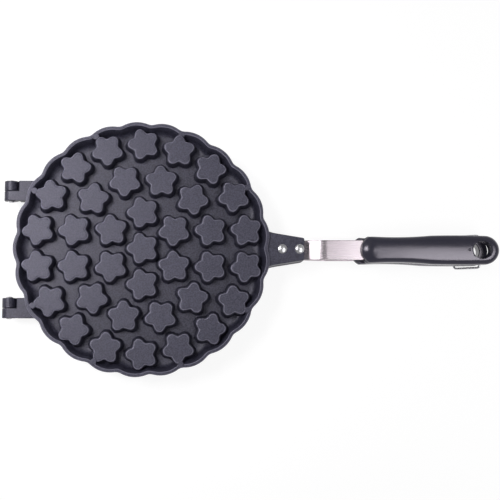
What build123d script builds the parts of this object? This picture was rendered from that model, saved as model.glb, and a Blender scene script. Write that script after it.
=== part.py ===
from build123d import *
import os
from math import cos, radians, sin, sqrt

# Star waffle pan: two identical castings, hinged at one edge, closed on each other.
# Frame: the hob plane is z = 0, the pan's centre is the origin, the handles point along +X
# and the hinge pins lie along Y. Each half is modelled as the upper one, with its height
# measured up from the parting plane, and the lower half is the same shape turned over about X.

# ---- driving dimensions, in millimetres -----------------------------------------------------
HALF_HEIGHT = 16.5          # parting plane to the flat outer face of a half

# scalloped rim
LOBES = 25
LOBE_STEPS = 3              # flats along each lobe
RIM_LOBE = 101.7            # radius of the rim's outer edge at the middle of a lobe
RIM_CUSP = 98.9             # and where two lobes meet
SKIRT_GROWTH = 1.004        # the outer wall spreads by this factor down to the parting plane
RIM_BAND = 2.5              # width of the rim's flat top
POCKET_GROWTH = 0.967       # the inner wall comes in by this factor down to the floor

# star bosses outside, star cavities inside
STAR_RINGS = ((28.7, 6, 90), (55.8, 12, 15), (83.6, 18, 90))  # radius, stars, first angle
STAR_LEAN = 18.8            # a petal points this far on from the star's own polar angle
PETALS = 5
BOSS_TIP = (-12.5, 12.5)    # a boss's petals are blunt
CAVITY_TIP = (0,)           # a cavity's are pointed
BOSS_PETAL = 11.8           # radii at the boss's flat end
BOSS_NOTCH = 8.5
BOSS_HEIGHT = 10.0
BOSS_GROWTH = 1.22          # the star widens by this factor down to the floor
WEB = 4.0                   # plate between the bosses
CAVITY_PETAL = 9.4          # radii at the cavity's flat bottom
CAVITY_NOTCH = 6.2
CAVITY_GROWTH = 1.37
CAVITY_END = 3.2            # metal left over a cavity
SHEET_RADIUS = 96.4         # the space between the closed halves
SHEET_FLATS = 50

# round ejector pads
PAD_RADIUS = 2.45
PAD_CIRCLE = 96.8
PAD_ANGLES = (30.4, 71.5, 112.8, 152)

# hinge
PIN_X = -106.1
PIN_RADIUS = 2.0
PIN_CLEARANCE = 0.05
BARREL_RADIUS = 5.6         # the lugs are as thick, above and below the parting plane
LUG_CENTRE = 47.0           # distance of each lug from the handle's axis
LUG_WIDTH = 16.0
NOTCH_BACK = -99.6          # the other half's knuckle fills this notch
KNUCKLE_GAP = 0.3
PIN_HEAD_RADIUS = 3.0
PIN_HEAD = 1.3

# handle bracket, cast on the rim
BRACKET_ROOT = 88.0
BRACKET_FLARE_X = 101.0
BRACKET_END = 129.5
BRACKET_FLARE = 19.0        # half widths
BRACKET_WIDE = 13.7
BRACKET_NARROW = 9.1
BRACKET_TOP = 14.2
BRACKET_UNDER = 3.2
RIVET_X = (111.3, 125.1)
RIVET_SHANK = 2.5
RIVET_HEAD_RADIUS = 3.85
RIVET_HEAD = 1.9
RIVET_TAIL = 0.8

# stainless strap
STRAP_WIDTH = 16.0
STRAP_THICK = 2.0
STRAP_START = 104.0
STRAP_RISE_FROM = 130.3     # the slope between the low flat and the high flat
STRAP_RISE_TO = 146.0
STRAP_HIGH = 5.0            # underside of the high flat
STRAP_BEND = 4.0
TANG_WIDTH = 12.0
TANG_LENGTH = 44.0          # reach of the strap into the grip

# moulded grip
GRIP_START = 174.6
GRIP_LENGTH = 114.0
GRIP_INNER = 2.2            # height of the face towards the other grip
GRIP_OUTER = 13.7
GRIP_NOSE = 7.0             # depth of the rounded front
GRIP_FRONT = 11.0           # half widths
GRIP_WAIST = 10.3
GRIP_SHOULDER = 11.7
GRIP_REAR = 12.0
GRIP_TAIL = 11.7            # also the radius of the round tail
WAIST_BACK = 30.0           # from the grip's front
SHOULDER_BACK = 58.0
GRIP_BEVEL = 3.4
GRIP_INNER_BEVEL = 1.2
HANG_RADIUS = 7.25
HANG_FORWARD = 2.8          # from the tail's centre towards the pan
HANG_BEVEL = 0.8
DIMPLE_BACK = 10.8          # from the hanging hole's centre
LOWER_GRIP_BACK = 5.8       # the lower grip sits this much nearer to the pan
SCREW_BACK = 24.0           # from the grip's front
SCREW_RADIUS = 2.0
SCREW_HEAD_RADIUS = 3.6
SCREW_LENGTH = 7.0

# wire bail that locks the grips together
WIRE_RADIUS = 0.9
BAIL_PIVOT_X = 276.0
BAIL_PIVOT = -4.0           # height of the pivot, from the parting plane
BAIL_SWING = 21.6           # pivot to the cross bar
BAIL_HALF_WIDTH = 13.4
BAIL_BEND = 1.6             # each corner is cut at this distance
BAIL_PIN_END = 6.5          # each end stops at this distance from the handle's axis
BAIL_STOW_GAP = 0.3

FLOOR = HALF_HEIGHT - BOSS_HEIGHT
SHEET_HALF = FLOOR - WEB
PARTING = Pos(0, 0, HALF_HEIGHT)
TURN_OVER = Rot(180, 0, 0)


def polar(radius, angle):
    return (radius * cos(radians(angle)), radius * sin(radians(angle)))


def flat_face(points):
    return make_face(Polyline(*points, close=True))


def tapered(outline, top, bottom, growth):
    """Stands on bottom, ends at top in the outline, and grows evenly downwards with flat sides."""
    upper = [(x, y, top) for x, y in outline]
    lower = [(x * growth, y * growth, bottom) for x, y in outline]
    faces = [flat_face(upper), flat_face(lower)]
    for i in range(len(outline)):
        faces.append(flat_face([upper[i - 1], upper[i], lower[i], lower[i - 1]]))
    return Solid(Shell(faces))


def star_outline(petal, notch, tip):
    """A five-petal star with a petal on +X. A petal's end is as wide as the tip angles."""
    points = []
    for i in range(PETALS):
        middle = 360 * i / PETALS
        points += [polar(petal, middle + angle) for angle in tip]
        points.append(polar(notch, middle + 180 / PETALS))
    return points


def scallop(lobe, cusp):
    """The rim's outline: a bow for each lobe, with the middle of a lobe on -X."""
    points = []
    for i in range(LOBES * LOBE_STEPS):
        along = i / LOBE_STEPS % 1
        rise = 1 - (2 * along - 1) ** 2
        points.append(polar(cusp + (lobe - cusp) * rise, 180 + (i / LOBE_STEPS - 0.5) * 360 / LOBES))
    return points


def star_places():
    """Each star's place: the centre one, then the rings, the petals mirrored about the X axis."""
    places = [Pos(0, 0, 0) * Rot(0, 0, 180)]
    for radius, count, first in STAR_RINGS:
        for i in range(count):
            angle = (first + 360 * i / count) % 360
            lean = STAR_LEAN if angle < 180 else -STAR_LEAN
            x, y = polar(radius, angle)
            places.append(Pos(x, y, 0) * Rot(0, 0, angle + lean))
    return places


def ruled(lower_face, lower, upper_face, upper):
    return loft([Pos(0, 0, lower) * lower_face, Pos(0, 0, upper) * upper_face], ruled=True)


def block(x0, x1, y0, y1, z0, z1):
    return Pos((x0 + x1) / 2, (y0 + y1) / 2, (z0 + z1) / 2) * Box(x1 - x0, y1 - y0, z1 - z0)


def across(radius, x, z, y0, y1):
    """A round bar along Y."""
    return Pos(x, (y0 + y1) / 2, z) * Rot(90, 0, 0) * Cylinder(radius, y1 - y0)


def upright(radius, x, y, z0, z1):
    return Pos(x, y, (z0 + z1) / 2) * Cylinder(radius, z1 - z0)


# ---- casting ----------------------------------------------------------------------------------
def lug(centre, knuckle_side):
    """A hinge lug whose knuckle is the half on knuckle_side. The other half is the notch."""
    half = LUG_WIDTH / 2
    root = block(NOTCH_BACK, -80, centre - half, centre + half, 0, BARREL_RADIUS)
    near = centre + knuckle_side * KNUCKLE_GAP / 2
    far = centre + knuckle_side * half
    y0, y1 = min(near, far), max(near, far)
    arm = block(PIN_X, NOTCH_BACK, y0, y1, 0, BARREL_RADIUS)
    barrel = across(BARREL_RADIUS, PIN_X, 0, y0, y1)
    bore = across(PIN_RADIUS + PIN_CLEARANCE, PIN_X, 0, y0 - 1, y1 + 1)
    return root + (arm + barrel - bore)


def bracket():
    """The tapered arm that carries the strap, flared into the rim, with two rivet holes."""
    side = [(BRACKET_ROOT, BRACKET_FLARE), (BRACKET_FLARE_X - 3, BRACKET_FLARE - 3),
            (BRACKET_FLARE_X, BRACKET_WIDE), (BRACKET_END, BRACKET_NARROW)]
    outline = Polyline(*[(x, -y) for x, y in side], *reversed(side), close=True)
    arm = extrude(Pos(0, 0, BRACKET_UNDER) * make_face(outline), amount=BRACKET_TOP - BRACKET_UNDER)
    for x in RIVET_X:
        arm -= upright(RIVET_SHANK, x, 0, BRACKET_UNDER - 1, BRACKET_TOP + 1)
    return arm


def casting():
    """One half, outer side up, standing on the parting plane."""
    skirt = tapered(scallop(RIM_LOBE, RIM_CUSP), HALF_HEIGHT, 0, SKIRT_GROWTH)
    body = skirt + lug(LUG_CENTRE, -1) + lug(-LUG_CENTRE, -1) + bracket()

    pocket = tapered(scallop(RIM_LOBE - RIM_BAND, RIM_CUSP - RIM_BAND), HALF_HEIGHT, FLOOR,
                     POCKET_GROWTH)
    boss = tapered(star_outline(BOSS_PETAL, BOSS_NOTCH, BOSS_TIP), HALF_HEIGHT, FLOOR, BOSS_GROWTH)
    places = star_places()
    bosses = [place * boss for place in places]
    pads = [upright(PAD_RADIUS, *polar(PAD_CIRCLE, side * angle), FLOOR, HALF_HEIGHT)
            for angle in PAD_ANGLES for side in (1, -1)]
    pocket = pocket.cut(*bosses, *pads)

    sheet_rim = [polar(SHEET_RADIUS, 360 * i / SHEET_FLATS) for i in range(SHEET_FLATS)]
    sheet = tapered(sheet_rim, SHEET_HALF, 0, 1)
    cavity_top = HALF_HEIGHT - CAVITY_END
    cavity = tapered(star_outline(CAVITY_PETAL, CAVITY_NOTCH, CAVITY_TIP), cavity_top, SHEET_HALF,
                     CAVITY_GROWTH)
    cavities = [place * cavity for place in places]
    return body.cut(pocket, sheet, *cavities)


# ---- strap, rivets, grip -----------------------------------------------------------------------
def strap(grip_start):
    """Bent from one flat strip: low under the bracket, a slope, then high into the grip."""
    low = BRACKET_UNDER - STRAP_THICK
    tang_end = grip_start + TANG_LENGTH
    under = [(STRAP_START, low), (STRAP_RISE_FROM, low), (STRAP_RISE_TO, STRAP_HIGH),
             (tang_end, STRAP_HIGH)]
    path = FilletPolyline(*under, radius=STRAP_BEND)
    top = FilletPolyline(*[(x, z + STRAP_THICK) for x, z in under], radius=STRAP_BEND)
    ends = [Line(path @ 0, top @ 0), Line(path @ 1, top @ 1)]
    profile = make_face(Plane.XZ * (path + top + ends))
    strip = extrude(profile, amount=STRAP_WIDTH / 2, both=True)
    for side in (1, -1):
        edge = side * (STRAP_WIDTH + TANG_WIDTH) / 4
        notch = (STRAP_WIDTH - TANG_WIDTH) / 4
        strip -= block(grip_start + 4, tang_end + 1, edge - notch, edge + notch, low, GRIP_OUTER)
    for x in RIVET_X:
        strip -= upright(RIVET_SHANK, x, 0, low - 1, low + STRAP_THICK + 1)
    strip -= upright(SCREW_RADIUS, grip_start + SCREW_BACK, 0, STRAP_HIGH - 1, GRIP_OUTER)
    return strip


def turned(profile, x):
    """Revolves a list of (radius, height) points about the upright axis at x."""
    face = make_face(Plane.XZ * Polyline(*profile, close=True))
    return Pos(x, 0, 0) * revolve(face, axis=Axis.Z)


def rivet(x):
    low = BRACKET_UNDER - STRAP_THICK
    top = BRACKET_TOP
    profile = [(0, low - RIVET_TAIL), (RIVET_SHANK + 0.9, low), (RIVET_SHANK, low),
               (RIVET_SHANK, top), (RIVET_HEAD_RADIUS, top), (0.75 * RIVET_HEAD_RADIUS, top + 1.4),
               (0, top + RIVET_HEAD)]
    return turned(profile, x)


def grip_outline(start, inset):
    """The grip seen from above: rounded nose, slim waist, round tail."""
    front, waist = start + GRIP_NOSE, start + WAIST_BACK
    shoulder, tail = start + SHOULDER_BACK, start + GRIP_LENGTH - GRIP_TAIL

    def flank(side):
        front_y, waist_y, shoulder_y, rear_y, tail_y = [
            side * (half_width - inset)
            for half_width in (GRIP_FRONT, GRIP_WAIST, GRIP_SHOULDER, GRIP_REAR, GRIP_TAIL)]
        return [ThreePointArc((front, front_y), (waist, waist_y), (shoulder, shoulder_y)),
                ThreePointArc((shoulder, shoulder_y), ((shoulder + tail) / 2, rear_y), (tail, tail_y))]

    nose = ThreePointArc((front, GRIP_FRONT - inset), (start + inset, 0), (front, inset - GRIP_FRONT))
    end = ThreePointArc((tail, GRIP_TAIL - inset), (tail + GRIP_TAIL - inset, 0),
                        (tail, inset - GRIP_TAIL))
    return make_face(Wire([nose, *flank(1), end, *flank(-1)]))


def grip(start, strap_solid):
    """The moulded grip round the strap's tang, with its hanging hole and dimple."""
    hang = start + GRIP_LENGTH - GRIP_TAIL - HANG_FORWARD
    full = grip_outline(start, 0)
    low, high = GRIP_INNER + GRIP_INNER_BEVEL, GRIP_OUTER - GRIP_BEVEL
    body = extrude(Pos(0, 0, low) * full, amount=high - low)
    body += ruled(grip_outline(start, GRIP_INNER_BEVEL), GRIP_INNER, full, low)
    body += ruled(full, high, grip_outline(start, GRIP_BEVEL), GRIP_OUTER)
    body -= upright(HANG_RADIUS, hang, 0, GRIP_INNER - 1, GRIP_OUTER + 1)
    bevel = [(0, GRIP_OUTER - HANG_BEVEL), (HANG_RADIUS, GRIP_OUTER - HANG_BEVEL),
             (HANG_RADIUS + HANG_BEVEL, GRIP_OUTER), (0, GRIP_OUTER)]
    body -= turned(bevel, hang)
    body -= upright(1.2, hang - DIMPLE_BACK, 0, GRIP_OUTER - 0.6, GRIP_OUTER + 1)
    screw_x = start + SCREW_BACK
    body -= upright(SCREW_HEAD_RADIUS + 0.2, screw_x, 0, GRIP_INNER - 1, STRAP_HIGH)
    body -= upright(SCREW_RADIUS, screw_x, 0, STRAP_HIGH, STRAP_HIGH + SCREW_LENGTH)
    return body - strap_solid


def grip_screw(start):
    """Its head bears on the tang, in a counterbore of the inner face."""
    head = 1.9
    profile = [(0, STRAP_HIGH - head), (SCREW_HEAD_RADIUS - 0.8, STRAP_HIGH - head),
               (SCREW_HEAD_RADIUS, STRAP_HIGH - 0.8), (SCREW_HEAD_RADIUS, STRAP_HIGH),
               (SCREW_RADIUS, STRAP_HIGH), (SCREW_RADIUS, STRAP_HIGH + SCREW_LENGTH),
               (0, STRAP_HIGH + SCREW_LENGTH)]
    return turned(profile, start + SCREW_BACK)


# ---- hinge pins and bail ------------------------------------------------------------------------
def hinge_pin(side):
    """Domed head at the inner side of the lug, peened end at the outer side."""
    half = LUG_WIDTH / 2
    inner = LUG_CENTRE - half
    outer = LUG_CENTRE + half
    gap = 0.05
    head = [(0, inner - gap - PIN_HEAD), (0.75 * PIN_HEAD_RADIUS, inner - gap - 0.75 * PIN_HEAD),
            (PIN_HEAD_RADIUS, inner - gap)]
    peened = [(PIN_RADIUS, outer + gap), (PIN_RADIUS + 0.6, outer + gap), (0, outer + gap + 0.9)]
    profile = head + [(PIN_RADIUS, inner - gap)] + peened
    pin = revolve(make_face(Plane.XZ * Polyline(*profile, close=True)), axis=Axis.Z)
    return Pos(PIN_X, 0, 0) * Rot(-90 * side, 0, 0) * pin


def eased(route, cut):
    """Cuts each corner of a route at the same distance, so that it turns in two steps."""
    points = [Vector(*point) for point in route]
    softer = [points[0]]
    for before, corner, after in zip(points, points[1:], points[2:]):
        softer += [corner + (before - corner).normalized() * cut,
                   corner + (after - corner).normalized() * cut]
    return softer + [points[-1]]


def bail():
    """A wire bail, hung on the lower grip's tail and folded forward under the grip."""
    bar = -GRIP_OUTER - WIRE_RADIUS - BAIL_STOW_GAP
    reach = sqrt(BAIL_SWING ** 2 - (bar - BAIL_PIVOT) ** 2)
    corner = (BAIL_PIVOT_X - reach, bar)
    route = [(BAIL_PIVOT_X, BAIL_PIN_END, BAIL_PIVOT), (BAIL_PIVOT_X, BAIL_HALF_WIDTH, BAIL_PIVOT),
             (corner[0], BAIL_HALF_WIDTH, corner[1])]
    route += [(x, -y, z) for x, y, z in reversed(route)]
    path = Polyline(*eased(route, BAIL_BEND))
    section = Plane(origin=path @ 0, z_dir=path % 0) * Circle(WIRE_RADIUS)
    return sweep(section, path=path, transition=Transition.RIGHT)


def bail_bores():
    """The blind holes for the bail's ends, in the lower grip's tail."""
    inner = BAIL_PIN_END - 0.4
    return [across(WIRE_RADIUS + 0.05, BAIL_PIVOT_X, BAIL_PIVOT, y0, y1)
            for y0, y1 in ((inner, GRIP_TAIL + 1), (-GRIP_TAIL - 1, -inner))]


# ---- assembly -----------------------------------------------------------------------------------
half = casting()
nodes = {}
for name, turn, grip_start in (("upper", Rot(0, 0, 0), GRIP_START),
                               ("lower", TURN_OVER, GRIP_START - LOWER_GRIP_BACK)):
    place = PARTING * turn
    strip = strap(grip_start)
    handle = place * grip(grip_start, strip)
    if name == "lower":
        for bore in bail_bores():
            handle -= PARTING * bore
    nodes[name + "_plate"] = place * half
    nodes[name + "_strap"] = place * strip
    nodes[name + "_rivet_front"] = place * rivet(RIVET_X[0])
    nodes[name + "_rivet_rear"] = place * rivet(RIVET_X[1])
    nodes[name + "_handle"] = handle
    nodes[name + "_handle_screw"] = place * grip_screw(grip_start)
nodes["hinge_pin_far"] = PARTING * hinge_pin(1)
nodes["hinge_pin_near"] = PARTING * hinge_pin(-1)
nodes["latch_bail"] = PARTING * bail()

os.makedirs("parts", exist_ok=True)
for name, solid in nodes.items():
    solid.label = name
    export_step(solid, "parts/" + name + ".step")
    box = solid.bounding_box()
    print(f"{name:22s} x {box.min.X:8.2f} {box.max.X:8.2f}  y {box.min.Y:8.2f} {box.max.Y:8.2f}"
          f"  z {box.min.Z:7.2f} {box.max.Z:7.2f}")
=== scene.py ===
# %% [markdown]
# # A hinged waffle pan with star moulds
#
# The pan is two castings of one pattern, closed on each other: stars stand out of each outer
# face and the same stars are sunk into each inner face. A steel strap is riveted to each
# casting and carries a moulded grip, and a wire bail locks the grips together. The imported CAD
# model is the frame. It fixes where everything is, and what moves with what. This script
# dresses it.

# %% Load the frame and note its box
from math import atan2, cos, exp, hypot, pi, radians, sin, sqrt

import bmesh
import bpy
import numpy as np
from mathutils import Matrix, Vector


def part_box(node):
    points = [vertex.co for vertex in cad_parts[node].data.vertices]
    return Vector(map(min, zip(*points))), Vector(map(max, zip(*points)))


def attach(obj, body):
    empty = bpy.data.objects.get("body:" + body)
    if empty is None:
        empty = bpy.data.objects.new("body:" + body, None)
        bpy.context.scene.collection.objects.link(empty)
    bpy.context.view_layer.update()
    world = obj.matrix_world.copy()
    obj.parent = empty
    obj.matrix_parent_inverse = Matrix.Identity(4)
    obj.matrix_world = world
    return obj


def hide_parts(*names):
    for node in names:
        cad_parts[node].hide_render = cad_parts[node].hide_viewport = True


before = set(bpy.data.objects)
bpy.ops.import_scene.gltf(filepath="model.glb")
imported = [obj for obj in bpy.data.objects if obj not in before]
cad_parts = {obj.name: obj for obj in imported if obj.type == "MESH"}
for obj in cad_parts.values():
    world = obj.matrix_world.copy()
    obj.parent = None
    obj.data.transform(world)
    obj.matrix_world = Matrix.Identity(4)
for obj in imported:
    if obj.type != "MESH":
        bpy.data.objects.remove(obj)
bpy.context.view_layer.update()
_, plate_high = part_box("upper_plate")

# %% [markdown]
# ## Lengths
#
# The drawings of such a pan are in millimetres, so the shapes below are written in them and
# turned into metres when a mesh is made. The parting plane, where the two castings meet, is
# half way up the closed pan. Each half is drawn as the upper one, with heights measured from
# that plane, and the lower half is the same shape turned over about the handle's axis.

# %% Millimetres and the parting plane
MM = 0.001
HALF_HEIGHT = plate_high.z / 2 / MM
PARTING = Matrix.Translation((0, 0, HALF_HEIGHT * MM))
TURN_OVER = Matrix.Rotation(pi, 4, "X")
PLACES = {"upper": PARTING, "lower": PARTING @ TURN_OVER}
print("parting plane at", round(HALF_HEIGHT, 2), "mm")

# %% [markdown]
# ## Camera
#
# The photograph looks almost straight down, from a little below the pan's centre, with a
# long lens. The camera stands that far off, looks at the middle of the picture, and is rolled
# by the small angle at which the handle runs across the frame.

# %% Camera
LENS = 71.9
SENSOR = 36
CAMERA_AT = Vector((0.0425, -0.0758, 0.823))
LOOK_AT = Vector((0.0853, -0.00125, 0.033))
ROLL = radians(-0.085)


def aim(thing, place, target, up):
    """Places thing and points its -Z at target, with up as near as can be to its +Y."""
    back = (place - target).normalized()
    right = up.cross(back).normalized()
    turn = Matrix((right, back.cross(right), back)).transposed().to_4x4()
    thing.matrix_world = Matrix.Translation(place) @ turn


scene = bpy.context.scene
camera_data = bpy.data.cameras.new("camera")
camera_data.lens = LENS
camera_data.sensor_width = SENSOR
camera_data.clip_start = 0.01
camera = bpy.data.objects.new("camera", camera_data)
scene.collection.objects.link(camera)
aim(camera, CAMERA_AT, LOOK_AT, Vector((sin(-ROLL), cos(ROLL), 0)))
scene.camera = camera
print("camera", [round(v, 3) for v in CAMERA_AT], "lens", LENS)

# %% [markdown]
# ## Lamps
#
# The picture is lit as a catalogue picture is, by soft boxes. An area lamp is one: its size
# sets how soft the light is, and its spread how far the light fans out. A small lamp at the
# upper left, held to a narrow spread, makes the flat star tops paler on that side. A long lamp,
# high beyond the grips, is mirrored as the pale band along their crowned tops.

# %% Lamps
LAMP_COLOUR = (1.0, 0.985, 1.0)
LAMPS = {
    "left_softbox": {"at": (-0.42, 0.18, 0.75), "aim": (-0.17, 0.07, 0.03),
                     "size": (0.36, 0.40), "watts": 0.92, "spread": 52},
    "grip_softbox": {"at": (0.63, -0.22, 1.22), "aim": (0.73, 0.16, 0.0),
                     "size": (0.44, 1.04), "watts": 2.9, "spread": 88},
}
for name, lamp in LAMPS.items():
    data = bpy.data.lights.new(name, "AREA")
    data.shape = "RECTANGLE"
    data.size, data.size_y = lamp["size"]
    data.energy = lamp["watts"]
    data.spread = radians(lamp["spread"])
    data.color = LAMP_COLOUR
    holder = bpy.data.objects.new(name, data)
    scene.collection.objects.link(holder)
    aim(holder, Vector(lamp["at"]), Vector(lamp["aim"]), Vector((0, 1, 0)))
    print(name, lamp["watts"], "W")
scene.view_settings.view_transform = "Standard"

# %% [markdown]
# ## Writing materials as sums
#
# A shader is easier to read as arithmetic than as a web of nodes. The first class wraps one
# output socket, and adding or multiplying such values adds Math nodes. The second holds a
# node tree, and its one method `node` adds a node of any kind. The shorter methods after it
# only name the nodes that the finishes share.

# %% A value in a shader
class Value:
    """One socket of a node tree. Arithmetic on it adds Math nodes."""

    def __init__(self, finish, socket):
        self.finish = finish
        self.socket = socket

    def __add__(self, other):
        return self.finish.math("ADD", self, other)

    def __mul__(self, other):
        return self.finish.math("MULTIPLY", self, other)

    def __sub__(self, other):
        return self.finish.math("SUBTRACT", self, other)

    def __rsub__(self, other):
        return self.finish.math("SUBTRACT", other, self)

    __radd__ = __add__
    __rmul__ = __mul__


# %% A finish, which adds nodes
class Finish:
    """A material under construction, or the world: a node tree and its main shader."""

    def __init__(self, owner, shader):
        owner.use_nodes = True
        self.owner = owner
        self.tree = owner.node_tree
        self.shader = self.tree.nodes[shader]

    def node(self, kind, settings, sockets, output=0):
        """A new node: its settings first, then its sockets. It stands for one output."""
        made = self.tree.nodes.new(kind)
        for name, setting in settings.items():
            if name == "stops":
                for place, (position, colour) in enumerate(setting):
                    stops = made.color_ramp.elements
                    stop = stops[place] if place < len(stops) else stops.new(position)
                    stop.position, stop.color = position, (*colour, 1)
            else:
                setattr(made, name, setting)
        self.feed(made, sockets)
        return Value(self, made.outputs[output])

    def feed(self, target, sockets):
        """Sets or links the target node's sockets, named or numbered."""
        for key, value in sockets.items():
            socket = target.inputs[key]
            if isinstance(value, Value):
                self.tree.links.new(value.socket, socket)
            else:
                socket.default_value = value

    def math(self, operation, *inputs):
        return self.node("ShaderNodeMath", {"operation": operation}, dict(enumerate(inputs)))

    def noise(self, place, scale, detail=2.0, roughness=0.5):
        return self.node("ShaderNodeTexNoise", {}, {
            "Vector": place, "Scale": scale, "Detail": detail, "Roughness": roughness})

    def ramp(self, value, low, high, course="SMOOTHSTEP"):
        """Runs from 0 to 1 while the value runs from low to high."""
        return self.node("ShaderNodeMapRange", {"interpolation_type": course},
                         {0: value, 1: low, 2: high, 3: 0.0, 4: 1.0})

    def mixed(self, share, first, second):
        """A colour between two, each written as three numbers or already a value."""
        first, second = [colour if isinstance(colour, Value) else (*colour, 1)
                         for colour in (first, second)]
        return self.node("ShaderNodeMix", {"data_type": "RGBA"},
                         {0: share, 6: first, 7: second}, output=2)

    def stretched(self, place, factors):
        return self.node("ShaderNodeVectorMath", {"operation": "MULTIPLY"},
                         {0: place, 1: factors})

    def bump(self, height, strength, depth):
        return self.node("ShaderNodeBump", {}, {
            "Height": height, "Strength": strength, "Distance": depth})


def new_finish(name):
    """A material, with the place on the piece as the value `place`."""
    made = Finish(bpy.data.materials.new(name), "Principled BSDF")
    made.place = made.node("ShaderNodeTexCoord", {}, {}, output="Object")
    return made


# %% [markdown]
# ## World
#
# A studio's ceiling and walls light what the lamps miss. A picture of a room could do that,
# but a grey that changes with height is enough here and needs no image. It is dim overhead,
# because the flat coated faces mirror what is above them and have to stay dark, and paler
# towards the horizon, which the bends, rivets and sloping walls mirror.

# %% World: dim overhead, paler towards the horizon
HORIZON_LIGHT, ZENITH_LIGHT = 0.34, 0.165
DIMS_FROM = 0.25
sky = Finish(bpy.data.worlds.new("studio"), "Background")
scene.world = sky.owner
direction = sky.node("ShaderNodeTexCoord", {}, {}, output="Generated")
height = sky.node("ShaderNodeSeparateXYZ", {}, {0: direction}, output="Z")
sky.feed(sky.shader, {
    "Color": (1, 1, 1, 1),
    "Strength": sky.ramp(height, DIMS_FROM, 1.0) * (ZENITH_LIGHT - HORIZON_LIGHT) + HORIZON_LIGHT,
})
print("world lights from", HORIZON_LIGHT, "to", ZENITH_LIGHT)

# %% [markdown]
# ## Floor
#
# The pan lies on a wide pale sheet. Most of what the camera sees of it is plain white, and a
# share is lit like paper, so that the pan keeps a soft shadow and doesn't seem to float. Metal
# mirrors the same white, so the white also shows to glossy and transmitted rays.

# %% White paper that keeps a shadow
WHITE_SHARE, WHITE = 0.8, 1.09
paper = new_finish("paper")
paper.feed(paper.shader, {
    "Base Color": (0.9, 0.9, 0.9, 1), "Roughness": 0.9, "Specular IOR Level": 0.1})
white = paper.node("ShaderNodeEmission", {}, {"Color": (1, 1, 1, 1), "Strength": WHITE})
camera_ray, glossy_ray, passing_ray = [
    paper.node("ShaderNodeLightPath", {}, {}, output=name)
    for name in ("Is Camera Ray", "Is Glossy Ray", "Is Transmission Ray")]
shown = paper.math("MAXIMUM", paper.math("MAXIMUM", camera_ray, glossy_ray), passing_ray)
lit_paper = Value(paper, paper.shader.outputs[0])
sheet = paper.node("ShaderNodeMixShader", {}, {0: shown * WHITE_SHARE, 1: lit_paper, 2: white})
paper.feed(paper.tree.nodes["Material Output"], {"Surface": sheet})
print("white share", WHITE_SHARE, "of strength", WHITE)

# %% Floor, a hair below the pan's lowest faces
FLOOR_EDGE = 3.0
FLOOR_DROP = 0.0002
floor_mesh = bpy.data.meshes.new("floor")
floor_mesh.from_pydata([(-FLOOR_EDGE, -FLOOR_EDGE, 0), (FLOOR_EDGE, -FLOOR_EDGE, 0),
                        (FLOOR_EDGE, FLOOR_EDGE, 0), (-FLOOR_EDGE, FLOOR_EDGE, 0)],
                       [], [(0, 1, 2, 3)])
floor_mesh.materials.append(paper.owner)
floor = bpy.data.objects.new("floor", floor_mesh)
floor.location.z = -FLOOR_DROP
scene.collection.objects.link(floor)
print("floor", 2 * FLOOR_EDGE, "m across")

# %% [markdown]
# ## Coat of the castings
#
# The castings have a sprayed non-stick coat: dark, a little purple, with a fine grain that
# spreads the light. Its colour carries painted shade and a painted highlight: darker on the low
# faces, the pocket's floor and the lugs, paler on the high faces, and palest in a thin painted
# highlight along the rounded top edges. Such a mask is often found from a mesh's sharp edges.
# Here all these faces lie at set heights, so the height above the parting plane finds them, and
# the same rule serves both halves.

# %% Sprayed coat
# Painted shade by height: below the first height the coat is painted darker, as shade in the pocket
# and on the lugs, and it is paler by the second height.
SHADE_TO_LIGHT = (0.009, 0.0164)              # heights above the parting plane, in metres
# Painted highlight: a thin pale line between these heights, on the rounded top edges of the stars.
HIGHLIGHT_STARTS = (0.01535, 0.0158)
HIGHLIGHT_ENDS = (0.01625, 0.01637)
coat = new_finish("sprayed_coat")
cloud = coat.noise(coat.place, 45, 3)
speckle = coat.noise(coat.place, 800, 3, 0.7)
grain = coat.ramp(speckle, 0.41, 0.59, "LINEAR")
above_parting = coat.node("ShaderNodeSeparateXYZ", {}, {0: coat.place}, output="Z")
# Painted shade: 0 low down, where the pocket's floor and the lugs are painted darker, 1 on the high
# faces.
painted_height_shade = coat.ramp(above_parting, *SHADE_TO_LIGHT)
# Painted highlight along the rounded top edges.
painted_edge_highlight = coat.ramp(above_parting, *HIGHLIGHT_STARTS) * (1 - coat.ramp(above_parting, *HIGHLIGHT_ENDS))
# The coat's colour, with the painted shade of the low faces mixed in.
coat_with_painted_shade = coat.mixed(painted_height_shade * 0.35 + cloud * 0.1 + grain * 0.55,
                     (0.006, 0.006, 0.012), (0.058, 0.057, 0.086))
coat.feed(coat.shader, {
    # The pale colour here is the painted highlight along the rounded top edges.
    "Base Color": coat.mixed(painted_edge_highlight, coat_with_painted_shade, (0.19, 0.185, 0.24)),
    "Specular Tint": (0.90, 0.885, 1.0, 1),
    "Roughness": cloud * 0.06 + grain * 0.06 + 0.38,
    "Normal": coat.bump(grain, 0.6, 0.00008),
})
print("coat:", len(coat.tree.nodes), "nodes")

# %% [markdown]
# ## Steel of the straps
#
# The strap is rolled stainless strip. Rolling leaves fine lines along its length, so its
# grain is a noise that is stretched along X. Lines as wide as a pixel would show as scribbles,
# so they are much finer than that and faint, and a slow haze does the rest.

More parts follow.
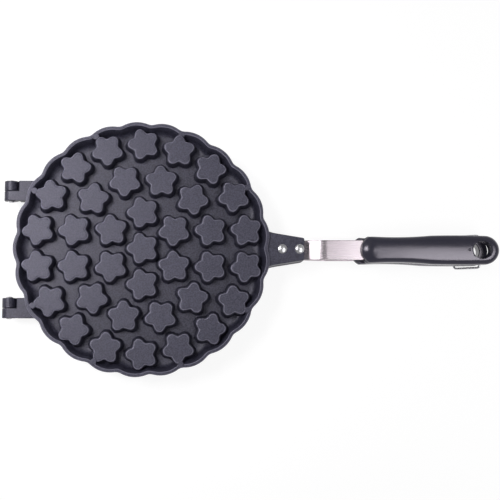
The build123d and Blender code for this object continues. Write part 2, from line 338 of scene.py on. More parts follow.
# %% Rolled strip
strip_steel = new_finish("rolled_strip")
lines = strip_steel.noise(strip_steel.stretched(strip_steel.place, (30, 2600, 900)), 1, 3, 0.6)
haze = strip_steel.noise(strip_steel.place, 90, 2)
strip_steel.feed(strip_steel.shader, {
    "Base Color": strip_steel.mixed(haze * 0.85 + lines * 0.15,
                                    (0.56, 0.50, 0.535), (0.64, 0.58, 0.615)),
    "Metallic": 1.0,
    "Roughness": lines * 0.04 + 0.25,
    "Normal": strip_steel.bump(lines, 0.01, 0.00003),
})
print("rolled strip:", len(strip_steel.tree.nodes), "nodes")

# %% [markdown]
# ## Aluminium of the rivets
#
# The rivets are tumbled bright before use, which leaves fine dents all over. A noise at that
# size, fed to the bump and the roughness, breaks up their highlights. Dents cut into the mesh
# would cost many faces and look the same.

# %% Bright rivets
rivet_metal = new_finish("tumbled_rivet")
dents = rivet_metal.noise(rivet_metal.place, 700, 2)
rivet_metal.feed(rivet_metal.shader, {
    "Base Color": rivet_metal.mixed(dents, (0.72, 0.72, 0.74), (0.88, 0.88, 0.89)),
    "Metallic": 1.0,
    "Roughness": dents * 0.14 + 0.22,
    "Normal": rivet_metal.bump(dents, 0.2, 0.00008),
})
print("rivet metal:", len(rivet_metal.tree.nodes), "nodes")

# %% [markdown]
# ## Steel of the pins, screws and wire
#
# These are drawn or turned from steel wire, which scratches them in one direction. One finish
# serves all of them, as they are too small for their scratches to be told apart.

# %% Drawn steel
drawn_steel = new_finish("drawn_steel")
scratch = drawn_steel.noise(drawn_steel.stretched(drawn_steel.place, (1400, 200, 1400)), 1, 3)
drawn_steel.feed(drawn_steel.shader, {
    "Base Color": drawn_steel.mixed(scratch, (0.50, 0.50, 0.53), (0.72, 0.71, 0.74)),
    "Metallic": 1.0,
    "Roughness": scratch * 0.15 + 0.2,
    "Normal": drawn_steel.bump(scratch, 0.15, 0.00004),
})
print("drawn steel:", len(drawn_steel.tree.nodes), "nodes")

# %% [markdown]
# ## Resin of the grips
#
# The grips are pressed from a dark resin that comes out of the mould shining. It is never
# quite flat: a slow unevenness makes the long reflection waver, and fine dust marks dull it.
# Both are in the bump, because a mesh would need a great many faces to waver so gently.

# %% Pressed resin
resin = new_finish("pressed_resin")
waver = resin.noise(resin.stretched(resin.place, (40, 90, 90)), 1, 2)
specks = resin.noise(resin.place, 900, 3, 0.6)
resin.feed(resin.shader, {
    "Base Color": resin.mixed(waver * 0.5 + specks * 0.5,
                              (0.024, 0.024, 0.040), (0.036, 0.035, 0.052)),
    "Roughness": specks * 0.10 + waver * 0.05 + 0.14,
    "Normal": resin.bump(waver + specks * 0.12, 0.35, 0.00035),
    "Specular IOR Level": 0.78,
    "Specular Tint": (0.96, 0.91, 1.0, 1),
})
print("resin:", len(resin.tree.nodes), "nodes")

# %% [markdown]
# ## Meshes from rings
#
# Nearly every piece is a stack of closed outlines with the same number of points: a star that
# widens as it goes down, a rim, a rivet, a wire. `skin` joins such rings with quads and closes
# both ends. Booleans then join the closed shapes, as the foundry's pattern maker joins wood.

# %% Rings to a closed shell
def ring(outline, height):
    return [(x, y, height) for x, y in outline]


def skin(rings):
    """A closed shell through rings of points. Rings run anticlockwise, seen from the last one."""
    shell = bmesh.new()
    rows = [[shell.verts.new(point) for point in points] for points in rings]
    for low, high in zip(rows, rows[1:]):
        for i in range(len(low)):
            shell.faces.new((low[i - 1], low[i], high[i], high[i - 1]))
    shell.faces.new(reversed(rows[0]))
    shell.faces.new(rows[-1])
    return shell


def polar(radius, angle):
    return radius * cos(radians(angle)), radius * sin(radians(angle))


# %% Shells to a mesh in metres
def gathered(shells, places=None):
    """One mesh of several closed shells, in metres, each moved to its own place."""
    whole = bmesh.new()
    for i, shell in enumerate(shells):
        piece = bpy.data.meshes.new("shell")
        shell.to_mesh(piece)
        if places:
            piece.transform(places[i])
        whole.from_mesh(piece)
        bpy.data.meshes.remove(piece)
    mesh = bpy.data.meshes.new("mesh")
    whole.to_mesh(mesh)
    mesh.transform(Matrix.Scale(MM, 4))
    whole.free()
    return mesh


# %% [markdown]
# A boolean modifier joins or cuts two closed meshes. It is worked out at once and kept as a
# plain mesh, so that the next cut starts from a finished shape and no helper object stays.

# %% Joining and cutting
def joined(mesh, operation, other):
    """mesh with other united to it or cut out of it."""
    base = bpy.data.objects.new("base", mesh)
    tool = bpy.data.objects.new("tool", other)
    for thing in (base, tool):
        scene.collection.objects.link(thing)
    cut = base.modifiers.new("cut", "BOOLEAN")
    cut.operation, cut.object, cut.solver = operation, tool, "MANIFOLD"
    bpy.context.view_layer.update()
    shaped = base.evaluated_get(bpy.context.evaluated_depsgraph_get())
    done = bpy.data.meshes.new_from_object(shaped)
    for thing in (base, tool):
        bpy.data.objects.remove(thing)
    return done


# %% [markdown]
# A finished mesh is shaded smooth, with its true edges kept sharp. A piece is then placed with
# its half, told which body carries it, and shown in place of the plain CAD pieces it dresses.

# %% Finishing and showing a piece
MERGE_WITHIN = 1e-6


def finished(mesh, sharp=35):
    """Cleans a mesh and shades it smooth, but for edges sharper than the angle."""
    shell = bmesh.new()
    shell.from_mesh(mesh)
    bmesh.ops.remove_doubles(shell, verts=shell.verts, dist=MERGE_WITHIN)
    bmesh.ops.dissolve_degenerate(shell, edges=shell.edges, dist=MERGE_WITHIN)
    shell.to_mesh(mesh)
    shell.free()
    mesh.polygons.foreach_set("use_smooth", [True] * len(mesh.polygons))
    mesh.set_sharp_from_angle(angle=radians(sharp))
    mesh.update()
    return mesh


def show(name, mesh, half, body, slot, finish, *nodes):
    """Puts a piece in the scene, placed with its half, riding on its body, for its CAD nodes."""
    thing = bpy.data.objects.new(name, mesh)
    scene.collection.objects.link(thing)
    thing.matrix_world = PLACES[half]
    mesh.materials.clear()
    mesh.materials.append(finish.owner)
    flat = thing.modifiers.new("flat_faces", "WEIGHTED_NORMAL")
    flat.keep_sharp = True
    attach(thing, body)
    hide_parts(*nodes)
    print(name, len(mesh.vertices), "vertices")


# %% [markdown]
# ## The casting's rim
#
# The rim runs in and out in twenty-five scallops, so that the pan's edge is stiff and easy to
# grasp. Each is a bow between two cusps, and the cusps are softened, because sand and coating
# fill a sharp corner. Written as a formula, the same edge serves at every height of the wall.

# %% Rim outline
LOBES = 25
LOBE_STEPS = 12
RIM_LOBE = 101.7
RIM_CUSP = 98.9
CUSP_SOFTNESS = 0.2


def scallop(growth):
    """The rim's outer edge, moved out by growth, with the middle of a lobe on -X."""
    outline = []
    for i in range(LOBES * LOBE_STEPS):
        along = i / LOBE_STEPS % 1
        from_cusp = 1 - abs(2 * along - 1)
        if from_cusp < CUSP_SOFTNESS:
            from_cusp = (from_cusp ** 2 + CUSP_SOFTNESS ** 2) / (2 * CUSP_SOFTNESS)
        rise = 2 * from_cusp - from_cusp ** 2
        outline.append(polar(RIM_CUSP + (RIM_LOBE - RIM_CUSP) * rise + growth,
                             180 + (i / LOBE_STEPS - 0.5) * 360 / LOBES))
    return outline


print("rim:", LOBES, "scallops of", LOBE_STEPS, "points")

# %% [markdown]
# ## Stars
#
# A star is written as a wave round a circle: five petals, with a second wave that fills the
# petals and narrows the notches. Going down, the star widens, so that the casting leaves the
# sand, and a small round runs along its top edge and its foot. A bevel modifier would round
# them too, but rings give each height its own size and keep the faces few.

# %% Star outline
STAR_POINTS = 60
TOP = HALF_HEIGHT
FLOOR_HEIGHT = 6.5


def star(mean, petal, fullness, growth=0.0):
    """A five-petal outline with a petal on +X, as a wave round a circle."""
    outline = []
    for i in range(STAR_POINTS):
        angle = 360 * i / STAR_POINTS
        wave = petal * cos(radians(5 * angle)) - fullness * cos(radians(10 * angle))
        outline.append(polar(mean + wave + growth, angle))
    return outline


def between(low, high, share):
    return [(x0 + (x1 - x0) * share, y0 + (y1 - y0) * share)
            for (x0, y0), (x1, y1) in zip(low, high)]


print("star:", STAR_POINTS, "points, from", FLOOR_HEIGHT, "to", round(TOP, 2), "mm")

# %% Boss, the star that stands on the floor
BOSS_FOOT = (12.7, 1.85, 0.25)        # mean radius, petals, fullness
BOSS_HEAD = (10.65, 1.75, 0.12)
BOSS_ROUND = ((0.1, 0.75), (0.35, 0.38), (0.8, 0.13), (1.5, 0.0))    # inset, drop
BOSS_BELOW_TOP = 0.02


def boss():
    """A flared foot, a sloping wall, a rounded top edge."""
    foot, head = star(*BOSS_FOOT), star(*BOSS_HEAD)
    height = TOP - FLOOR_HEIGHT
    rings = [ring(star(*BOSS_FOOT, 0.9), FLOOR_HEIGHT - 0.3),
             ring(star(*BOSS_FOOT, 0.5), FLOOR_HEIGHT + 0.12)]
    for share in (0.07, 0.3, 0.6, 0.9):
        rings.append(ring(between(foot, head, share), FLOOR_HEIGHT + height * share))
    for inset, drop in BOSS_ROUND:
        rings.append(ring(star(*BOSS_HEAD, -inset), TOP - drop - BOSS_BELOW_TOP))
    return skin(rings)


print("boss:", BOSS_FOOT[0], "to", BOSS_HEAD[0], "mm mean radius")

# %% [markdown]
# The batter fills the stars of the inner face. Each cavity follows its boss with an even wall
# between them, as a foundry wants, and is a shape of its own that is cut out later.

# %% Cavity, the star sunk into the inner face
SHEET_HEIGHT = 2.5
METAL_OVER_CAVITY = 3.2
CAVITY_MOUTH = (11.6, 1.9, 0.30)
CAVITY_END = (8.4, 1.5, 0.25)
CAVITY_ROUND = ((0.0, 1.0), (0.35, 0.35), (1.1, 0.0))


def cavity():
    """Narrower towards its end, with a rounded mouth and a rounded end."""
    mouth, end = star(*CAVITY_MOUTH), star(*CAVITY_END)
    top, low = TOP - METAL_OVER_CAVITY, SHEET_HEIGHT
    rings = [ring(star(*CAVITY_MOUTH, 0.9), low - 1.0),
             ring(star(*CAVITY_MOUTH, 0.5), low - 0.05)]
    for share in (0.05, 0.4, 0.8):
        rings.append(ring(between(mouth, end, share), low + (top - low) * share))
    for inset, drop in CAVITY_ROUND:
        rings.append(ring(star(*CAVITY_END, -inset), top - drop))
    return skin(rings)


print("cavity:", SHEET_HEIGHT, "to", round(TOP - METAL_OVER_CAVITY, 2), "mm")

# %% [markdown]
# The stars stand in three circles round a middle one, each leaning a little from the spoke
# that it stands on. They are joined to the floor in groups, so that no two in a group touch:
# a boolean's tool must not cross itself.

# %% Where the stars stand
STAR_CIRCLES = ((28.7, 6, 90), (55.8, 12, 15), (83.6, 18, 90))    # radius, stars, first angle
STAR_LEAN = 18.8
APART = 40

star_places = [(0.0, 0.0, 180.0)]
for radius, count, first in STAR_CIRCLES:
    for i in range(count):
        angle = (first + 360 * i / count) % 360
        lean = STAR_LEAN if angle < 180 else -STAR_LEAN
        star_places.append((*polar(radius, angle), angle + lean))

groups = []
for place in star_places:
    free = [group for group in groups
            if all(hypot(place[0] - x, place[1] - y) > APART for x, y, _ in group)]
    if free:
        free[0].append(place)
    else:
        groups.append([place])
print(len(star_places), "stars in", len(groups), "groups")

# %% [markdown]
# ## Side views drawn out
#
# Lugs and knuckles are easiest to draw from the side. The side view is drawn out along Y, and
# its end faces are a little smaller, which rounds the edges as a file would.

# %% Side views drawn out along Y
def shrunk(outline, amount):
    """Each point moved to the inside of an anticlockwise outline by the same distance."""
    moved = []
    for i, (x, y) in enumerate(outline):
        before, after = outline[i - 1], outline[(i + 1) % len(outline)]
        a = Vector((x - before[0], y - before[1])).normalized()
        b = Vector((after[0] - x, after[1] - y)).normalized()
        normal = Vector((-a.y - b.y, a.x + b.x))
        scale = amount / max(0.35, normal.length_squared / 2)
        moved.append((x + normal.x * scale, y + normal.y * scale))
    return moved


def drawn_out(outline, y0, y1, round_off):
    """A side view (x, z) drawn from y0 to y1, its end faces a little smaller."""
    steps = ((y1, round_off), (y1 - round_off, 0), (y0 + round_off, 0), (y0, round_off))
    return skin([[(x, y, z) for x, z in shrunk(outline, inset)] for y, inset in steps])


# %% [markdown]
# ## Lugs
#
# Two lugs stand out of the rim opposite the handle, as thick as the barrel round the hinge
# pin. Half of each lug's width is that barrel, which reaches past the parting plane, and the
# other half is a notch for the other casting's knuckle. Turned over, the casting meets its own
# copy, knuckle into notch, so one pattern makes both halves.

# %% Side views of a lug
PIN_X = -106.1
BARREL = 5.6
BARREL_TURN = 255
ARC_STEPS = 24
NOTCH_BACK = -99.6
KNUCKLE_ROOT = -86
LUG_ROOT = -82


def knuckle_profile():
    """The flat top, as high as the barrel, and the barrel round the pin, from the side."""
    arc = [polar(BARREL, 90 + BARREL_TURN * i / ARC_STEPS) for i in range(ARC_STEPS + 1)]
    return [(KNUCKLE_ROOT, BARREL), *[(PIN_X + x, z) for x, z in arc],
            (-99.3, 0.3), (KNUCKLE_ROOT, 0.3)]


def root_profile():
    return [(LUG_ROOT, 0.2), (LUG_ROOT, BARREL), (NOTCH_BACK + 0.6, BARREL),
            (NOTCH_BACK, BARREL - 0.6), (NOTCH_BACK, 0.7), (NOTCH_BACK + 0.5, 0.2)]


print("barrel", BARREL, "mm round a pin at", PIN_X, "mm")

# %% Lugs and the bores for the pins
LUG_CENTRE = 47.0
LUG_HALF = 8.0
KNUCKLE_GAP = 0.3
BORE = 2.05
LUG_CENTRES = (LUG_CENTRE, -LUG_CENTRE)


def lugs():
    """For each lug, its root across the full width and its knuckle on the -Y half."""
    roots = [drawn_out(root_profile(), c - LUG_HALF, c + LUG_HALF, 0.4) for c in LUG_CENTRES]
    knuckles = [drawn_out(knuckle_profile(), c - LUG_HALF, c - KNUCKLE_GAP / 2, 0.35)
                for c in LUG_CENTRES]
    return gathered(roots), gathered(knuckles)


def bore_tools():
    round_bore = [polar(BORE, -360 * i / ARC_STEPS) for i in range(ARC_STEPS)]
    outline = [(PIN_X + x, z) for x, z in round_bore][::-1]
    return gathered([skin([[(x, y, z) for x, z in outline] for y in (c + 1, c - LUG_HALF - 1)])
                     for c in LUG_CENTRES])


print("lugs at", LUG_CENTRES, "mm")

# %% [markdown]
# ## Bracket
#
# The bracket carries the strap: a short tapered arm whose sides flare into the rim, because a
# casting is weak at a sharp inner corner. Its sides are one formula in x, the taper and a flare
# that dies away, and its top edges are rounded by insets of the same outline.

# %% Bracket
BRACKET_END = 129.5
BRACKET_LOW, BRACKET_TOP = 3.2, 14.2
BRACKET_HALF, BRACKET_TAPER = 13.7, 0.16
FLARE, FLARE_MOST, FLARE_FADE = 1.5, 4.5, 2.2
BRACKET_STATIONS = (90, 92.5, 94.5, 96, 97.5, 99, 100.5, 102, 104, 107, 112, 120,
                    BRACKET_END - 1.5, BRACKET_END - 0.6)


def bracket_side(x):
    """Half width at x: a straight taper, and a flare that dies away from the rim."""
    return (BRACKET_HALF - BRACKET_TAPER * (x - 101)
            + min(FLARE_MOST, FLARE * exp(-(x - 99) / FLARE_FADE)))


def bracket():
    side = [(x, bracket_side(x) - (0.25 if x > BRACKET_END - 1 else 0))
            for x in BRACKET_STATIONS]
    side += [(BRACKET_END, bracket_side(BRACKET_END) - 1.2)]
    outline = [(x, -y) for x, y in side] + [(x, y) for x, y in reversed(side)]
    rings = [ring(shrunk(outline, 0.5), BRACKET_LOW), ring(outline, BRACKET_LOW + 0.5),
             ring(shrunk(outline, 0.3), BRACKET_TOP - 0.8),
             ring(shrunk(outline, 0.45), BRACKET_TOP - 0.35),
             ring(shrunk(outline, 0.9), BRACKET_TOP)]
    return gathered([skin(rings)])


print("bracket to", BRACKET_END, "mm, half width there", round(bracket_side(BRACKET_END), 2))

# %% [markdown]
# ## Walls of the casting
#
# The rim's outer wall leans in as it rises, and the pocket's foot has a wide round, which wipes
# clean. Each wall is a list of levels: how far the outline has moved, and how high it is there.
# Eight round pads beside the rim are level with the ends of the stars, and carry the pan.

# %% Levels of the walls, each a growth or an inset in mm and a height
RIM_BAND = 2.5
RIM_TOP = TOP - 0.12
SKIRT = ((-0.15, 0.0), (0.2, 0.35), (0.08, 8.0), (-0.06, RIM_TOP - 0.7),
         (-0.2, RIM_TOP - 0.22), (-0.5, RIM_TOP))
POCKET_FOOT = ((9.6, 0.0), (7.6, 0.12), (6.0, 0.45), (4.8, 1.0), (3.8, 1.9), (3.0, 3.2),
               (2.3, 4.8))            # above the floor
POCKET_MOUTH = ((0.4, -1.0), (0.1, -0.35), (-0.35, -0.02), (-0.6, 1.0))    # from the rim's top

PAD_RADIUS = 2.45
PAD_CIRCLE = 96.8
PAD_ANGLES = (30.4, 71.5, 112.8, 152)
PAD = ((0, FLOOR_HEIGHT - 0.2), (0, TOP - 0.3), (-0.1, TOP - 0.08), (-0.35, TOP))
pad_places = [(*polar(PAD_CIRCLE, side * angle), 0) for angle in PAD_ANGLES for side in (1, -1)]

SHEET_RADIUS = 96.4
RECESS = ((0, -1), (0, SHEET_HEIGHT - 0.8), (0.3, SHEET_HEIGHT - 0.2), (1.0, SHEET_HEIGHT))
print(len(pad_places), "pads, rim", RIM_BAND, "mm wide")

# %% [markdown]
# ## Joining the casting
#
# The order is the pattern maker's: the outer wall with its lugs and bracket, the pocket cut
# into it, the stars and the round pads set in the pocket, and last the inner face's recess
# and stars cut from below.

# %% Copies of a shape
def disc(radius, count=ARC_STEPS):
    return [polar(radius, 360 * i / count) for i in range(count)]


def stamped(shape, places):
    """A copy of a shape at each (x, y, turn)."""
    matrices = [Matrix.Translation((x, y, 0)) @ Matrix.Rotation(radians(turn), 4, "Z")
                for x, y, turn in places]
    return gathered([shape] * len(places), matrices)


# %% Casting
RIVET_X = (111.3, 125.1)
SHANK = 2.5


def outer_wall():
    """The rim's wall with its lugs and bracket, and the pocket cut into it."""
    skirt = [ring(scallop(growth), height) for growth, height in SKIRT]
    pocket = [ring(scallop(-RIM_BAND - inset), FLOOR_HEIGHT + rise)
              for inset, rise in POCKET_FOOT]
    pocket += [ring(scallop(-RIM_BAND - inset), RIM_TOP + rise) for inset, rise in POCKET_MOUTH]
    whole = gathered([skin(skirt)])
    for extra in (*lugs(), bracket()):
        whole = joined(whole, "UNION", extra)
    return joined(whole, "DIFFERENCE", gathered([skin(pocket)]))


def casting():
    whole = outer_wall()
    for group in groups:
        whole = joined(whole, "UNION", stamped(boss(), group))
    pads = [ring(disc(PAD_RADIUS + growth), height) for growth, height in PAD]
    whole = joined(whole, "UNION", stamped(skin(pads), pad_places))
    recess = [ring(disc(SHEET_RADIUS - inset, 150), height) for inset, height in RECESS]
    whole = joined(whole, "DIFFERENCE", gathered([skin(recess)]))
    whole = joined(whole, "DIFFERENCE", stamped(cavity(), star_places))
    rivet_holes = skin([ring(disc(SHANK), -1), ring(disc(SHANK), TOP)])
    whole = joined(whole, "DIFFERENCE", stamped(rivet_holes, [(x, 0, 0) for x in RIVET_X]))
    return finished(joined(whole, "DIFFERENCE", bore_tools()))


casting_mesh = casting()
for half in ("lower", "upper"):
    show(half + "_casting", casting_mesh, half, half, "coated_casting", coat, half + "_plate")

# %% [markdown]
# ## Straps
#
# A strap is one strip, bent twice: flat under the bracket, a short slope, and flat again into
# the grip. The second bend is the wider one. A curve with a bevel could carry the section, but
# a height written as a formula in x gives each bend its own width.

# %% Strap from the side
STRAP_LOW, STRAP_HIGH = 1.2, 5.0
RISE_FROM, RISE_TO = 130.3, 146.0
FIRST_BEND, SECOND_BEND = 1.4, 5.6
CLIMB_FROM, CLIMB_TO = RISE_FROM - FIRST_BEND / 2, RISE_TO + SECOND_BEND / 2


def strap_height(x):
    """Height of the strap's underside: a straight slope between two bends."""
    rise = STRAP_HIGH - STRAP_LOW
    slope = rise / (CLIMB_TO - CLIMB_FROM - (FIRST_BEND + SECOND_BEND) / 2)
    done, left = max(0, x - CLIMB_FROM), max(0, CLIMB_TO - x)
    if done < FIRST_BEND:
        return STRAP_LOW + slope * done ** 2 / (2 * FIRST_BEND)
    if left < SECOND_BEND:
        return STRAP_HIGH - slope * left ** 2 / (2 * SECOND_BEND)
    return STRAP_LOW + slope * (done - FIRST_BEND / 2)


print("strap rises from", STRAP_LOW, "to", STRAP_HIGH, "mm")

# %% [markdown]
# The strip's edges are tumbled round. Its section is a flat bar with a small arc at each
# corner, and it leans with the slope, so that the strip keeps its thickness through the bends.
# Inside the grip a narrower tang carries on.

# %% Strap section
STRAP_HALF, STRAP_THICK = 8.0, 2.0
TANG_HALF = 6.0
EDGE_ROUND = 0.45
CORNER_ANGLES = (180, 270, 0, 90)


def bar_section(half_width):
    """A flat bar's section (y, z) with its four corners rounded."""
    bar = [(-half_width, 0), (half_width, 0), (half_width, STRAP_THICK), (-half_width, STRAP_THICK)]
    return [(y + EDGE_ROUND * cos(radians(first + 30 * step)),
             z + EDGE_ROUND * sin(radians(first + 30 * step)))
            for (y, z), first in zip(shrunk(bar, EDGE_ROUND), CORNER_ANGLES) for step in range(4)]


print("strap section:", len(bar_section(STRAP_HALF)), "points")

# %% Straps
STRAP_START = 104.0
GRIP_START = {"upper": 174.6, "lower": 168.8}
TANG_LENGTH = 44.0


def strap(half):
    tang = GRIP_START[half] + 4
    stations = [STRAP_START, STRAP_START + 0.4]
    stations += [CLIMB_FROM + FIRST_BEND * i / 6 for i in range(7)]
    stations += [CLIMB_TO - SECOND_BEND * (1 - i / 10) for i in range(11)] + [CLIMB_TO + 6]
    stations += [tang - 1, tang, tang + 1, GRIP_START[half] + TANG_LENGTH]
    rings = []
    for x in stations:
        half_width = STRAP_HALF if x < tang else TANG_HALF
        if x == STRAP_START:
            half_width -= 0.6
        low = strap_height(x)
        tilt = strap_height(x + 0.05) - strap_height(x - 0.05)
        lean = Vector((1, tilt * 10)).normalized()
        rings.append([(x - lean.y * z, y, low + z * lean.x) for y, z in bar_section(half_width)])
    return finished(gathered([skin(rings)]))


for half in ("lower", "upper"):
    show(half + "_strap_bent", strap(half), half, half, "stainless_strap", strip_steel,
         half + "_strap")

# %% [markdown]
# ## Rivets
#
# Each strap hangs on two rivets, set through it and the bracket. A rivet's head is a low dome,
# and its other end is hammered flat. Like the pins and screws it is a turned shape: a side view
# spun about an axis, as a stack of circles.

# %% Turned pieces
TURN_STEPS = 40


def turned(profile):
    """Spins (radius, height) points, listed upwards, about Z."""
    return skin([ring(disc(max(radius, 0.01), TURN_STEPS), height) for radius, height in profile])


def dome(radius, base, height, steps=7):
    return [(radius * cos(pi / 2 * i / steps), base + height * sin(pi / 2 * i / steps))
            for i in range(steps + 1)]


# %% Rivets
RIVET_HEAD, RIVET_HEAD_HEIGHT = 3.85, 1.5


def rivet():
    head = dome(RIVET_HEAD, BRACKET_TOP + 0.35, RIVET_HEAD_HEIGHT)
    return turned([(0, 0.4), (2.2, 0.5), (3.2, 0.8), (3.4, 1.15), (SHANK - 0.02, 1.2),
                   (SHANK - 0.02, BRACKET_TOP), (3.7, BRACKET_TOP + 0.02), *head])


rivet_mesh = {x: finished(gathered([rivet()], [Matrix.Translation((x, 0, 0))])) for x in RIVET_X}
for half in ("lower", "upper"):
    for x, where in zip(RIVET_X, ("front", "rear")):
        name = half + "_rivet_" + where
        show(name + "_domed", rivet_mesh[x], half, half, "bright_rivet", rivet_metal, name)

# %% [markdown]
# ## Hinge pins
#
# A pin runs through the knuckles of both castings at each lug. It has one domed end and one
# that is hammered over, so it can't work loose. It is turned like a rivet and laid along Y.

# %% Hinge pins
PIN_RADIUS = 2.0


def hinge_pin(side):
    inner, outer = LUG_CENTRE - LUG_HALF - 0.05, LUG_CENTRE + LUG_HALF + 0.05
    profile = [(0, inner - 1.3), (1.3, inner - 1.2), (2.3, inner - 0.85), (2.85, inner - 0.4),
               (3.0, inner), (PIN_RADIUS, inner + 0.01), (PIN_RADIUS, outer),
               (2.6, outer + 0.01), (2.3, outer + 0.45), (1.3, outer + 0.8), (0, outer + 0.9)]
    along_y = Matrix.Translation((PIN_X, 0, 0)) @ Matrix.Rotation(radians(-90 * side), 4, "X")
    return finished(gathered([turned(profile)], [along_y]))


for side, name in ((1, "hinge_pin_far"), (-1, "hinge_pin_near")):
    show(name + "_domed", hinge_pin(side), "upper", "lower", "steel_fastener", drawn_steel, name)

# %% [markdown]
# ## Screws of the grips
#
# One screw holds each grip on its tang, from the face towards the other grip. It can be seen
# when the pan is open. Its cross slot is cut by two crossed bars that taper with depth, as a
# driver's tip does.

# %% Screws of the grips, with a cross slot
SCREW_BACK = 24.0
SCREW_HEAD, SCREW_SHANK = 3.6, 1.98
SLOT_LONG, SLOT_WIDE = 2.0, 0.45


def grip_screw(half):
    profile = [(1.2, STRAP_HIGH - 1.9), (2.6, STRAP_HIGH - 1.8), (3.3, STRAP_HIGH - 1.35),
               (SCREW_HEAD, STRAP_HIGH - 0.7), (SCREW_HEAD, STRAP_HIGH - 0.02),
               (SCREW_SHANK, STRAP_HIGH), (SCREW_SHANK, STRAP_HIGH + 6.6), (1.4, STRAP_HIGH + 7)]
    body = gathered([turned(profile)])
    slot_low, slot_high = STRAP_HIGH - 2.5, STRAP_HIGH - 0.9
    for length, width in ((SLOT_LONG, SLOT_WIDE), (SLOT_WIDE, SLOT_LONG)):
        bar = [(-length, -width), (length, -width), (length, width), (-length, width)]
        cutter = skin([ring(bar, slot_low), ring(shrunk(bar, 0.12), slot_high)])
        body = joined(body, "DIFFERENCE", gathered([cutter]))
    body.transform(Matrix.Translation(((GRIP_START[half] + SCREW_BACK) * MM, 0, 0)))
    return finished(body)


for half in ("lower", "upper"):
    name = half + "_handle_screw"
    show(name + "_slotted", grip_screw(half), half, half, "steel_fastener", drawn_steel, name)

# %% [markdown]
# ## Grips
#
# Seen from above a grip has a round nose, a slim waist for the fingers and a round tail with a
# hanging hole. Each flank is two parabolas that meet at the shoulder: a hand-drawn curve could
# follow the picture as well, but three measured widths say where every point comes from.

# %% Grip outline
GRIP_LENGTH = 114.0
NOSE, WAIST_BACK, SHOULDER_BACK, REAR_BACK = 7.0, 30.0, 58.0, 80
FRONT, WAIST, SHOULDER, REAR, TAIL = 11.0, 10.3, 11.7, 12.0, 11.7
TAIL_BACK = GRIP_LENGTH - TAIL


def parabola(a, b, c):
    """The parabola through three (x, y) points, as a function."""
    factors = np.polyfit([a[0], b[0], c[0]], [a[1], b[1], c[1]], 2)
    return lambda x: float(np.polyval(factors, x))


front_side = parabola((NOSE, FRONT), (WAIST_BACK, WAIST), (SHOULDER_BACK, SHOULDER))
rear_side = parabola((SHOULDER_BACK, SHOULDER), (REAR_BACK, REAR), (TAIL_BACK, TAIL))


def grip_outline():
    """Anticlockwise from the nose's near side, with the grip's front at x = 0."""
    flank = [(x, front_side(x)) for x in np.linspace(NOSE, SHOULDER_BACK, 18)]
    flank += [(x, rear_side(x)) for x in np.linspace(SHOULDER_BACK, TAIL_BACK, 14)[1:]]
    nose_radius = (NOSE ** 2 + FRONT ** 2) / (2 * NOSE)
    reach = atan2(FRONT, nose_radius - NOSE)
    nose = [(nose_radius * (1 - cos(a)), nose_radius * sin(a))
            for a in np.linspace(-reach, reach, 19)[1:-1]]
    tail = [(TAIL_BACK + TAIL * sin(a), TAIL * cos(a)) for a in np.linspace(0, pi, 25)[1:-1]]
    far = flank[::-1]
    near = [(x, -y) for x, y in flank]
    return [(float(x), float(y)) for x, y in near + tail[::-1] + far + nose[::-1]]


print("grip outline:", len(grip_outline()), "points")

# %% [markdown]
# A grip's rings are that outline, each point moved towards the grip's spine bit by bit: a
# small round at the face towards the other grip, upright sides, a generous round at the outer
# edge, and a top that is crowned across. The nose slopes down further, behind a narrow lip, so
# near the front each ring runs over to an inset and a height of the nose's own.

# %% Grip rings, from the inner face to the crowned top
GRIP_INNER, GRIP_OUTER = 2.2, 13.7
EDGE = 4.2
CROWN, NOSE_CROWN = 38.0, 0.55
NOSE_REACH = 15.0
NOSE_RAMP = ((1.4, 10.2), (1.8, 11.0), (2.6, 11.5), (3.6, 11.98), (4.8, 12.5), (6.0, 12.95),
             (7.4, 13.35), (8.8, 13.6))
TOP_INSETS = (5.2, 6.3, 7.5, 8.8, 10.2, 12)


def grip_level(height, inset, nose=None, crowned=0.0):
    """A ring at a height and inset, which run over to the nose's own inset and height."""
    nose_inset, nose_height = nose or (inset, height)
    moved = []
    for x, y in grip_outline():
        spine_x = min(max(x, NOSE_REACH), TAIL_BACK)
        share = max(0.0, 1 - x / FRONT)
        width = hypot(x - spine_x, y)
        step = min(inset + (nose_inset - inset) * share, width - 0.4) / width
        side = y - y * step
        own = height + (nose_height - height) * share
        fall = crowned * side ** 2 / (2 * CROWN * (1 - NOSE_CROWN * share))
        moved.append((x + (spine_x - x) * step, side, own - fall))
    return moved


def grip_rings():
    shoulder = GRIP_OUTER - EDGE
    rings = [grip_level(GRIP_INNER, 1.2), grip_level(GRIP_INNER + 0.35, 0.35),
             grip_level(GRIP_INNER + 1.2, 0), grip_level(6.3, 0, (0.0, 5.9)),
             grip_level(6.6, 0, (1.1, 6.3)), grip_level(shoulder, 0.05, (1.3, 8.3))]
    for i, nose in enumerate(NOSE_RAMP, 1):
        turn = pi / 2 * i / len(NOSE_RAMP)
        rings.append(grip_level(GRIP_OUTER - EDGE * (1 - sin(turn)),
                                0.05 + EDGE * (1 - cos(turn)), nose, sin(turn)))
    return rings + [grip_level(GRIP_OUTER, inset, (inset + 5.0, GRIP_OUTER), 1.0)
                    for inset in TOP_INSETS]


print("grip:", len(grip_rings()), "rings")

# %% [markdown]
# What is cut out of a grip: the hanging hole with its rounded lips, a small moulding dimple, a
# counterbore for the screw's head, a slot for the strap and, in the lower grip alone, two bores
# for the ends of the bail. Each is a closed shape that is a little longer than its hole, because
# a cutter that ends level with a face leaves slivers.

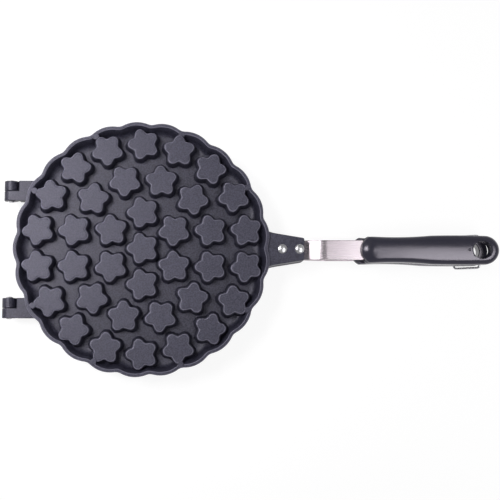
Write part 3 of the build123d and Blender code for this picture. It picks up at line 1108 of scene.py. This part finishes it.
# %% Holes of the grips
HANG_BACK = TAIL_BACK - 2.8
DIMPLE_BACK = HANG_BACK - 10.8
HANG_RADIUS = 7.25
HANG_HOLE = ((1.2, 1.0), (0.5, GRIP_INNER + 0.15), (0, GRIP_INNER + 0.7), (0, GRIP_OUTER - 1.5),
             (0.15, GRIP_OUTER - 1.0), (0.5, GRIP_OUTER - 0.55), (1.1, GRIP_OUTER - 0.2),
             (2.4, GRIP_OUTER + 1.0))
DIMPLE = ((0.5, GRIP_OUTER - 0.9), (1.0, GRIP_OUTER - 0.6), (1.3, GRIP_OUTER + 0.3))
COUNTERBORE = ((3.8, 0), (3.8, STRAP_HIGH))
FIT = 0.05
WIRE = 0.9
BAIL_X, BAIL_HEIGHT = 276.0, -4.0
BAIL_PIN_END = 6.5


def grip_tools(half):
    """The shapes to cut out of a grip, each with the grip's front at x = 0."""
    hole = [ring(disc(HANG_RADIUS + growth, 48), height) for growth, height in HANG_HOLE]
    dimple = [ring(disc(radius), height) for radius, height in DIMPLE]
    counterbore = [ring(disc(radius), height) for radius, height in COUNTERBORE]
    wide = STRAP_HALF + FIT
    slot = [(-2, -wide), (4.05, -wide), (4.05, wide), (-2, wide)]
    slot_rings = [ring(slot, STRAP_HIGH - FIT), ring(slot, STRAP_HIGH + STRAP_THICK + FIT)]
    tools = [stamped(skin(hole), [(HANG_BACK, 0, 0)]),
             stamped(skin(dimple), [(DIMPLE_BACK, 0, 0)]),
             stamped(skin(counterbore), [(SCREW_BACK, 0, 0)]),
             gathered([skin(slot_rings)])]
    if half == "lower":
        bore = disc(WIRE + FIT, 16)
        for low, high in ((BAIL_PIN_END - 0.4, 13.0), (-13.0, 0.4 - BAIL_PIN_END)):
            tools.append(gathered([skin([
                [(BAIL_X - GRIP_START[half] + a, y, b - BAIL_HEIGHT) for a, b in bore]
                for y in (high, low)])]))
    return tools


# %% Grips
def grip(half):
    body = gathered([skin(grip_rings())])
    for tool in grip_tools(half):
        body = joined(body, "DIFFERENCE", tool)
    body.transform(Matrix.Translation((GRIP_START[half] * MM, 0, 0)))
    return finished(body, sharp=40)


for half in ("lower", "upper"):
    show(half + "_grip", grip(half), half, half, "moulded_grip", resin, half + "_handle")

# %% [markdown]
# ## Bail
#
# The bail is one length of round wire: its ends sit in the lower grip's tail, its legs run
# forward, and its cross bar lies under the grip. A wire bends in arcs, so each corner of the
# route is rounded before a circle is carried along it. A curve object with a bevel would do the
# same, but this keeps the wire a plain mesh like the rest.

# %% Route of the wire
BAIL_HALF = 13.4
BAIL_SWING = 21.6
BAIL_BEND = 2.6
BAIL_GAP = 0.3
bar_height = -GRIP_OUTER - WIRE - BAIL_GAP
bar_x = BAIL_X - sqrt(BAIL_SWING ** 2 - (bar_height - BAIL_HEIGHT) ** 2)
side_route = [(BAIL_X, BAIL_PIN_END, BAIL_HEIGHT), (BAIL_X, BAIL_HALF, BAIL_HEIGHT),
              (bar_x, BAIL_HALF, bar_height)]
whole_route = side_route + [(x, -y, z) for x, y, z in reversed(side_route)]


def rounded(route, cut, steps=6):
    """The route with each corner replaced by a smooth bend that starts at the cut distance."""
    points = [Vector(p) for p in route]
    soft = [points[0]]
    for before, corner, after in zip(points, points[1:], points[2:]):
        start = corner + (before - corner).normalized() * cut
        end = corner + (after - corner).normalized() * cut
        for i in range(steps + 1):
            t = i / steps
            soft.append(start * (1 - t) ** 2 + corner * 2 * t * (1 - t) + end * t ** 2)
    return soft + [points[-1]]


print("bail: bar at", round(bar_x, 2), "mm along and", round(bar_height, 2), "mm up")

# %% Bail
def wire(route, radius, count=16):
    """A round wire along the points, its section carried without twist."""
    across = (route[1] - route[0]).normalized().orthogonal().normalized()
    rings = []
    for i, point in enumerate(route):
        ahead = (route[min(i + 1, len(route) - 1)] - route[max(i - 1, 0)]).normalized()
        across = (across - ahead * across.dot(ahead)).normalized()
        other = ahead.cross(across)
        turns = [2 * pi * k / count for k in range(count)]
        rings.append([tuple(point + across * (radius * cos(turn)) + other * (radius * sin(turn)))
                      for turn in turns])
    return skin(rings)


bail_mesh = finished(gathered([wire(rounded(whole_route, BAIL_BEND), WIRE - 0.01)]))
show("latch_bail_wire", bail_mesh, "upper", "latch", "steel_wire", drawn_steel, "latch_bail")
